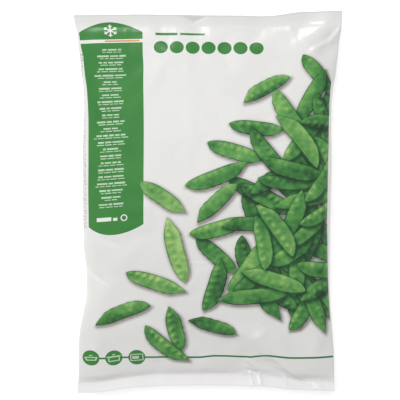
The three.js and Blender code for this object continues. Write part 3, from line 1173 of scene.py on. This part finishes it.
corner_places = front_flat[front_faces].reshape(-1, 2)
corner_owner = np.repeat(owner, 3)
unshaded = np.ones(len(corner_places))
pod_place = np.zeros((len(corner_places), 3))
pod_kind = np.zeros((len(corner_places), 3))
pod_light = np.zeros((len(corner_places), 3))
for number, pod in enumerate(pods):
    under = (corner_owner < number) & (np.repeat(middles[:, 0], 3) < PRINT_RIGHT)
    close = under & (np.linalg.norm(corner_places - pod.middle, axis=1) < pod.half_length + SHADOW_REACH)
    unshaded[close] *= 1 - SHADOW_DEPTH * pod.shade_at(corner_places[close])
    mine = corner_owner == number
    along, across = pod.own_places(corner_places[mine])
    pod_place[mine] = np.column_stack([along, across, np.full(len(along), pod.bend)])
    pod_kind[mine] = (pod.tone, pod.plump, pod.peas)
    pod_light[mine] = pod.light
shade = 1 - unshaded
for number, name in enumerate(INKS):
    print(name, int((ink == number).sum()), "triangles")

# %% [markdown]
# ## The closed mesh
#
# The back sheet is a plain net that shares its rim with the front, so the two make one closed body. All
# its places come from the film function. Corner normals come from the same function, so that splinters
# in the cut print never show in the gloss. Down the back runs the seam that made the flat film a tube: a
# welded flap, folded flat. It is printed, not raised: the flap a little paler, and its edges painted as
# thin dark lines of shade.

# %% Build the bag
BACK_STEP = 5.0
# A point this far in from each corner keeps the back's triangle there off the front's.
CORNER_POINT = 1.5
SEAM_LEFT, SEAM_RIGHT = 5.0, 18.0
SEAM_EDGE = 0.8
SEAM_CLEAR = 1
SEAM_STEP = 2.0

rim_points = front_flat[on_rim(front_flat)]
back_net = net_points(BACK_STEP)
back_net = back_net[~on_rim(back_net)]
back_net = back_net[(back_net[:, 0] < SEAM_LEFT - SEAM_CLEAR) | (back_net[:, 0] > SEAM_RIGHT + SEAM_CLEAR)]
seam_rows = np.arange(SEAM_STEP / 2 - HALF_V, HALF_V, SEAM_STEP)
seam_columns = (SEAM_LEFT, SEAM_LEFT + SEAM_EDGE, SEAM_RIGHT - SEAM_EDGE, SEAM_RIGHT)
seam_points = np.array([(u, v) for u in seam_columns for v in seam_rows])
corner_u, corner_v = HALF_U - CORNER_POINT, HALF_V - CORNER_POINT
corners = [(-corner_u, -corner_v), (corner_u, -corner_v), (corner_u, corner_v), (-corner_u, corner_v)]
sheet = np.vstack([rim_points, back_net, seam_points, corners])
cut = delaunay_2d_cdt([Vector(p) for p in sheet], [], [], 0, 1e-4, False)
back_flat = np.array([tuple(p) for p in cut[0]])
back_faces = np.array(cut[2])[:, ::-1]
back_middle = back_flat[back_faces].mean(1)[:, 0]
on_seam = (back_middle > SEAM_LEFT) & (back_middle < SEAM_RIGHT)
# Painted shade: a thin dark line along each edge of the seam flap stands for the shadow of its fold.
on_seam_shade_line = on_seam & ((back_middle < SEAM_LEFT + SEAM_EDGE) | (back_middle > SEAM_RIGHT - SEAM_EDGE))
plain_back = np.where(on_seam, INKS.index("weld_white"), INKS.index("film_white"))
back_ink = np.where(on_seam_shade_line, INKS.index("speck_and_seam_shade_grey"), plain_back)


def rim_key(place):
    """The same for a point of the front's rim and for its partner on the back."""
    return round(place[0], 3), round(place[1], 3)


rim_index = {rim_key(front_flat[i]): int(i) for i in np.flatnonzero(on_rim(front_flat))}
joined = []
extra = []
for place in back_flat:
    if rim_key(place) in rim_index:
        joined.append(rim_index[rim_key(place)])
    else:
        joined.append(len(front_flat) + len(extra))
        extra.append(place)
joined = np.array(joined)
extra = np.array(extra)

# On the front s grows to the right, and on the back it grows to the left.
s_front = front_flat[:, 0] + HALF_U
s_back = FLAT_WIDTH + HALF_U - back_flat[:, 0]
s_extra = FLAT_WIDTH + HALF_U - extra[:, 0]
vertices = np.vstack([film_points(s_front, front_flat[:, 1]), film_points(s_extra, extra[:, 1])])
vertices[:, 2] = np.maximum(vertices[:, 2], 0)
faces = np.vstack([front_faces, joined[back_faces]])

mesh = bpy.data.meshes.new("printed_film")
mesh.from_pydata((vertices * MM).tolist(), [], faces.tolist())
bag = bpy.data.objects.new("printed_film", mesh)
bpy.context.scene.collection.objects.link(bag)
mesh.update()

normals = np.vstack([film_normals(s_front, front_flat[:, 1])[front_faces.ravel()],
                     film_normals(s_back, back_flat[:, 1])[back_faces.ravel()]])
mesh.polygons.foreach_set("material_index", np.concatenate([ink, back_ink]).astype(np.int32))
mesh.polygons.foreach_set("use_smooth", np.ones(len(faces), bool))
mesh.normals_split_custom_set(normals.tolist())


def add_corner_values(name, kind, field, values):
    """Stores values for the corners of the front's triangles. The back's are all 0."""
    width = values.shape[1] if values.ndim > 1 else 1
    padded = np.zeros((len(mesh.loops), width), np.float32)
    padded[: len(values)] = values.reshape(len(values), width)
    layer = mesh.attributes.new(name, kind, "CORNER")
    layer.data.foreach_set(field, padded.ravel())


add_corner_values("printed_shade", "FLOAT", "value", shade)
for name, values in (("pod_place", pod_place), ("pod_kind", pod_kind), ("pod_light", pod_light)):
    add_corner_values(name, "FLOAT_VECTOR", "vector", values)
flat_map = mesh.uv_layers.new(name="flat_film")
flat_uv = np.vstack([front_flat[front_faces].reshape(-1, 2), back_flat[back_faces].reshape(-1, 2)])
flat_map.data.foreach_set("uv", (flat_uv * MM).astype(np.float32).ravel())
open_edges = len(mesh.edges) * 2 - len(faces) * 3
print("bag:", len(vertices), "points,", len(faces), "triangles, open edges", open_edges)

# %% [markdown]
# ## Inks and film
#
# All inks lie under the film's clear gloss, so one group of nodes gives every one of them the same fine
# unevenness: an orange-peel ripple, and a coarser crinkle where the film has been handled.

# %% Shared film gloss
FILM_ROUGHNESS = 0.25
# A noise's scale, detail and roughness.
CRINKLE, RIPPLE = (26, 3, 0.55), (260, 2, 0.5)
RIPPLE_SHARE = 0.05
BUMP_STRENGTH, BUMP_DISTANCE = 0.35, 0.002
# On a Mix node for colours: the sockets of the share and of both colours, and the output.
MIX_INPUTS, MIX_OUTPUT = (0, 6, 7), 2


def feed(tree, socket, value):
    """Gives a socket a link, a colour or a number."""
    if isinstance(value, bpy.types.NodeSocket):
        tree.links.new(value, socket)
    else:
        socket.default_value = (*value, 1) if isinstance(value, tuple) else value


def add_node(tree, kind, settings=(), **inputs):
    """A new node with its settings made and its named inputs fed."""
    node = tree.nodes.new(kind)
    for name, value in settings:
        setattr(node, name, value)
    for name, value in inputs.items():
        feed(tree, node.inputs[name.replace("_", " ")], value)
    return node


def object_place(tree):
    return add_node(tree, "ShaderNodeTexCoord").outputs["Object"]


def math_node(tree, operation, *inputs):
    """A Math node fed by sockets or numbers. Gives its output."""
    node = add_node(tree, "ShaderNodeMath", [("operation", operation)])
    for socket, value in zip(node.inputs, inputs):
        feed(tree, socket, value)
    return node.outputs[0]


def noise(tree, place, scale, detail=2, roughness=0.5):
    node = add_node(tree, "ShaderNodeTexNoise", Vector=place, Scale=scale, Detail=detail, Roughness=roughness)
    return node.outputs["Fac"]


def mixed(tree, *values):
    """A colour between two colours, by a share."""
    node = add_node(tree, "ShaderNodeMix", [("data_type", "RGBA")])
    for number, value in zip(MIX_INPUTS, values):
        feed(tree, node.inputs[number], value)
    return node.outputs[MIX_OUTPUT]


def film_bump(tree):
    """The film's fine unevenness as a normal, from the place on the object."""
    place = object_place(tree)
    ripple = math_node(tree, "MULTIPLY", noise(tree, place, *RIPPLE), RIPPLE_SHARE)
    height = math_node(tree, "ADD", noise(tree, place, *CRINKLE), ripple)
    bump = add_node(tree, "ShaderNodeBump", Strength=BUMP_STRENGTH, Distance=BUMP_DISTANCE, Height=height)
    return bump.outputs["Normal"]


def printed_film(name):
    """A material with the film's gloss. Its colour is still to be linked."""
    material = bpy.data.materials.new(name)
    material.use_nodes = True
    tree = material.node_tree
    shader = tree.nodes["Principled BSDF"]
    shader.inputs["Roughness"].default_value = FILM_ROUGHNESS
    tree.links.new(film_bump(tree), shader.inputs["Normal"])
    return material, tree, shader.inputs["Base Color"]


print("film roughness", FILM_ROUGHNESS, "and crinkles up to", BUMP_DISTANCE / MM, "mm")

# %% Plain inks and the white film
FILM_TONES = ((0.745, 0.742, 0.722), (0.765, 0.758, 0.742))
FILM_SHADED = (0.150, 0.125, 0.110)
PLAIN_INKS = {
    "weld_white": ((0.82, 0.805, 0.815), (0.86, 0.845, 0.855)),
    # Painted glints on the bottom weld's puckers.
    "painted_glint_white": ((0.93, 0.925, 0.93), (0.96, 0.955, 0.96)),
    # Painted shade along the top cut and at the pinch.
    "painted_edge_shade": ((0.64, 0.64, 0.64), (0.67, 0.67, 0.67)),
    "panel_green": ((0.026, 0.172, 0.042), (0.056, 0.255, 0.044)),
    "white_ink": ((0.72, 0.75, 0.70), (0.76, 0.79, 0.74)),
    "small_print": ((0.44, 0.60, 0.42), (0.50, 0.66, 0.48)),
    "accent_orange": ((0.66, 0.25, 0.07), (0.72, 0.30, 0.09)),
    "line_green": ((0.03, 0.15, 0.05), (0.04, 0.18, 0.06)),
    # Specks of small print at the side, and the painted shade of the seam flap's edges.
    "speck_and_seam_shade_grey": ((0.25, 0.27, 0.24), (0.34, 0.36, 0.33)),
}
FILM_CLOUDS, INK_CLOUDS = 14, 22


def stored(tree, name, output):
    """A value that the mesh carries at its corners."""
    return add_node(tree, "ShaderNodeAttribute", [("attribute_name", name)]).outputs[output]


def cloudy(tree, scale, tones):
    """A colour that drifts between two tones over the bag."""
    return mixed(tree, noise(tree, object_place(tree), scale), *tones)


def make_white_film():
    """White film, darker where a pod's printed shadow falls."""
    material, tree, colour = printed_film("film_white")
    shade = stored(tree, "printed_shade", "Fac")
    tree.links.new(mixed(tree, shade, cloudy(tree, FILM_CLOUDS, FILM_TONES), FILM_SHADED), colour)
    return material


def make_plain_ink(name):
    material, tree, colour = printed_film(name)
    tree.links.new(cloudy(tree, INK_CLOUDS, PLAIN_INKS[name]), colour)
    return material


print(len(PLAIN_INKS), "plain inks and the white film")

# %% [markdown]
# ## Pod ink
#
# One ink serves every pod. From along and across it works out how near the seam or the belly a place is,
# from 1 to -1. Both rims get a thin dark line, the belly is paler, and a row of soft bumps near the seam
# shows the peas, each bright towards the light and dark away from it, and on some pods stronger than on
# others. Two scales of noise mottle it all.

# %% Make the pod ink
POD_RAMP = [
    (0.0, (0.006, 0.022, 0.012)), (0.2, (0.020, 0.085, 0.028)), (0.42, (0.052, 0.215, 0.048)),
    (0.62, (0.130, 0.335, 0.085)), (0.8, (0.270, 0.475, 0.140)), (1.0, (0.46, 0.64, 0.25)),
]
PEA_LINE, PEA_SHIFT = 0.32, 0.26
# How quickly a pea fades along the pod and across it, and how much it brightens and darkens the ink.
PEA_FADE_ALONG, PEA_FADE_ACROSS = 13.0, 9.0
PEA_BRIGHT, PEA_DARK = 0.34, 0.20
# Where each of these sets in and where it is complete: along, from the middle to an end, or across.
PEAS_IN, RIM_IN, TIP_IN, BELLY_IN = (1.0, 0.8), (0.84, 1.0), (0.9, 1.0), (-0.1, -0.75)
BLOTCH_SCALE, GRAIN = 42, (170, 4, 0.6)
# How much each adds to the brightness, from 0 to 1 on the ramp.
TONE_SHARE, BASE = 0.44, 0.29
ROUND_SHARE, BELLY_SHARE, RIM_SHARE, TIP_SHARE = 0.15, 0.06, -0.40, -0.14
GRAIN_SHARE, BLOTCH_SHARE, PEA_WANDER = 0.44, 0.70, 1.2
POD_SHADE_SHARE = 0.8
END_LIMIT = 0.995


def make_pod_ink():
    material, tree, colour = printed_film("pod_green")

    def m(operation, *inputs):
        return math_node(tree, operation, *inputs)

    def parts(name):
        return add_node(tree, "ShaderNodeSeparateXYZ", Vector=stored(tree, name, "Vector")).outputs

    def step(low, high, value):
        node = add_node(tree, "ShaderNodeMapRange", [("interpolation_type", "SMOOTHSTEP")],
                        Value=value, From_Min=low, From_Max=high)
        return node.outputs["Result"]

    t, b, bend = parts("pod_place")
    tone, plump, peas = parts("pod_kind")
    light_along, light_across, _ = parts("pod_light")
    distance = m("MINIMUM", m("ABSOLUTE", t), END_LIMIT)
    full = m("POWER", m("SUBTRACT", 1.0, m("POWER", distance, POD_FULL[0])), POD_FULL[1])
    half = m("MULTIPLY", full, m("SUBTRACT", 1.0, m("MULTIPLY", step(*POD_TIP[:2], t), POD_TIP[2])))
    bent = m("MULTIPLY", bend, m("SUBTRACT", 1.0, m("MULTIPLY", t, t)))
    across = m("ADD", m("DIVIDE", m("SUBTRACT", b, bent), half), BELLY)
    place = object_place(tree)
    blotch = m("SUBTRACT", noise(tree, place, BLOTCH_SCALE), 0.5)
    pea_count = m("MULTIPLY", m("ADD", t, 1.0), m("MULTIPLY", peas, 0.5))
    beads = m("ADD", pea_count, m("MULTIPLY", blotch, PEA_WANDER))

    def bump(side):
        """A row of soft spots, moved towards the light or away from it."""
        moved = m("SUBTRACT", beads, m("MULTIPLY", light_along, side * PEA_SHIFT * 0.5))
        cell = m("SUBTRACT", m("FRACT", moved), 0.5)
        off = m("SUBTRACT", m("SUBTRACT", across, m("MULTIPLY", light_across, side * PEA_SHIFT)), PEA_LINE)
        fade_along = m("MULTIPLY", m("MULTIPLY", cell, cell), PEA_FADE_ALONG)
        fade_across = m("MULTIPLY", m("MULTIPLY", off, off), PEA_FADE_ACROSS)
        return m("EXPONENT", m("MULTIPLY", m("ADD", fade_along, fade_across), -1.0))

    relief = m("SUBTRACT", m("MULTIPLY", bump(1), PEA_BRIGHT), m("MULTIPLY", bump(-1), PEA_DARK))
    peas_shown = m("MULTIPLY", m("MULTIPLY", relief, plump), step(*PEAS_IN, distance))

    brightness = m("ADD", m("MULTIPLY", tone, TONE_SHARE), BASE)
    for value, share in (
        (m("MULTIPLY", light_across, across), ROUND_SHARE),
        (peas_shown, 1.0),
        (step(*BELLY_IN, across), BELLY_SHARE),
        (m("SUBTRACT", noise(tree, place, *GRAIN), 0.5), GRAIN_SHARE),
        (blotch, BLOTCH_SHARE),
        (step(*RIM_IN, m("ABSOLUTE", across)), RIM_SHARE),
        (step(*TIP_IN, t), TIP_SHARE),
    ):
        brightness = m("ADD", brightness, m("MULTIPLY", value, share))
    shade = m("MULTIPLY", stored(tree, "printed_shade", "Fac"), POD_SHADE_SHARE)
    brightness = m("MULTIPLY", brightness, m("SUBTRACT", 1.0, shade))

    ramp = add_node(tree, "ShaderNodeValToRGB")
    stops = ramp.color_ramp.elements
    while len(stops) < len(POD_RAMP):
        stops.new(0.5)
    for stop, (position, green) in zip(stops, POD_RAMP):
        stop.position = position
        stop.color = (*green, 1)
    tree.links.new(brightness, ramp.inputs["Fac"])
    tree.links.new(ramp.outputs["Color"], colour)
    return material


for name in INKS:
    if name == "film_white":
        mesh.materials.append(make_white_film())
    elif name == "pod_green":
        mesh.materials.append(make_pod_ink())
    else:
        mesh.materials.append(make_plain_ink(name))
print("inks:", [material.name for material in mesh.materials])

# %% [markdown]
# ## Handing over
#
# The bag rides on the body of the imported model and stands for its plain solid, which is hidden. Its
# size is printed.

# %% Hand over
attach(bag, "root")
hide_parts("film_bag")
low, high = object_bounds()
print("visual size, in mm:", [round((b - a) / MM, 1) for a, b in zip(low, high)])
